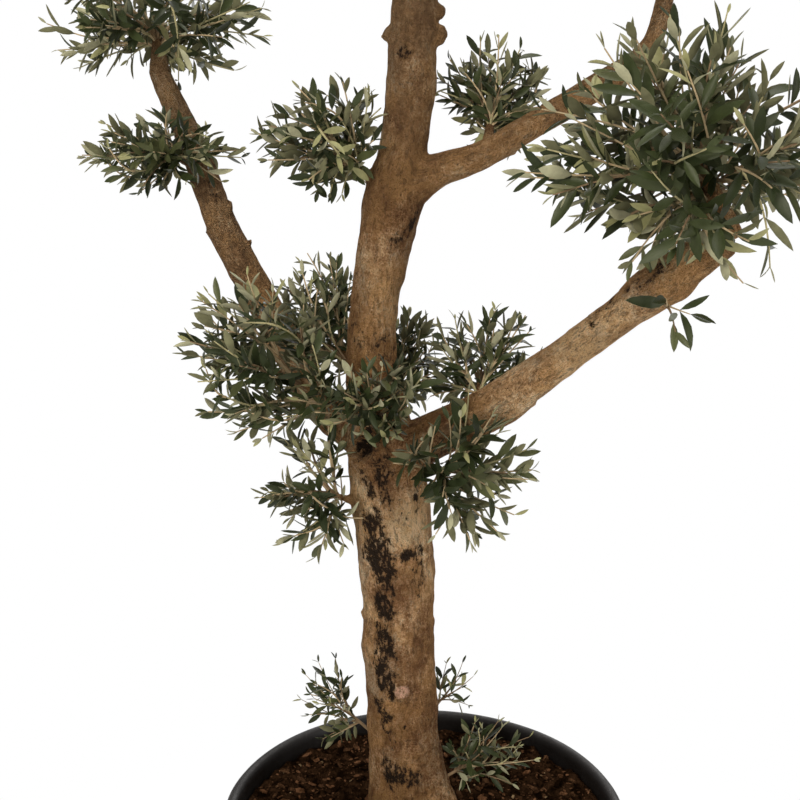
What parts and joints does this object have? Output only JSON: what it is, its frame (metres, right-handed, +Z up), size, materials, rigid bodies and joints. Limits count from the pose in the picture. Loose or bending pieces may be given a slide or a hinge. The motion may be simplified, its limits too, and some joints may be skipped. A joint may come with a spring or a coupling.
{
  "type": "potted olive tree",
  "caption": "Olive tree with a bare, gently bent trunk and boughs that carry separate clipped pads of foliage, planted in a large round plastic pot.",
  "frame": {"origin": "middle of the pot's flat underside", "axes": "+Z up along the tree, +X to the right and +Y to the back as seen from the side that the long low bough points to"},
  "size_m": [1.0418, 0.8499, 2.2659],
  "materials": {
    "black_plastic": "satin",
    "compost": "matte",
    "bark": "matte",
    "foliage": "satin"
  },
  "bodies": {
    "root": {"pot": "black_plastic", "soil": "compost", "trunk": "bark", "left_bough": "bark", "right_low_bough": "bark", "right_high_bough": "bark", "right_high_riser": "bark", "top_left_bough": "bark", "top_back_bough": "bark", "top_front_bough": "bark", "foliage_left_top": "foliage", "foliage_left_mid": "foliage", "foliage_right_low": "foliage", "foliage_right_spray": "foliage", "foliage_fork_left": "foliage", "foliage_fork_right": "foliage", "foliage_low_left": "foliage", "foliage_low_left_back": "foliage", "foliage_low_left_under": "foliage", "foliage_low_right": "foliage", "foliage_low_right_under": "foliage", "foliage_low_front": "foliage", "foliage_low_back": "foliage", "foliage_right_high": "foliage", "foliage_crown": "foliage", "foliage_top_left": "foliage", "foliage_top_back": "foliage", "foliage_top_front": "foliage", "foliage_foot_left": "foliage", "foliage_foot_right": "foliage", "foliage_foot_front": "foliage"}
  },
  "joints": []
}
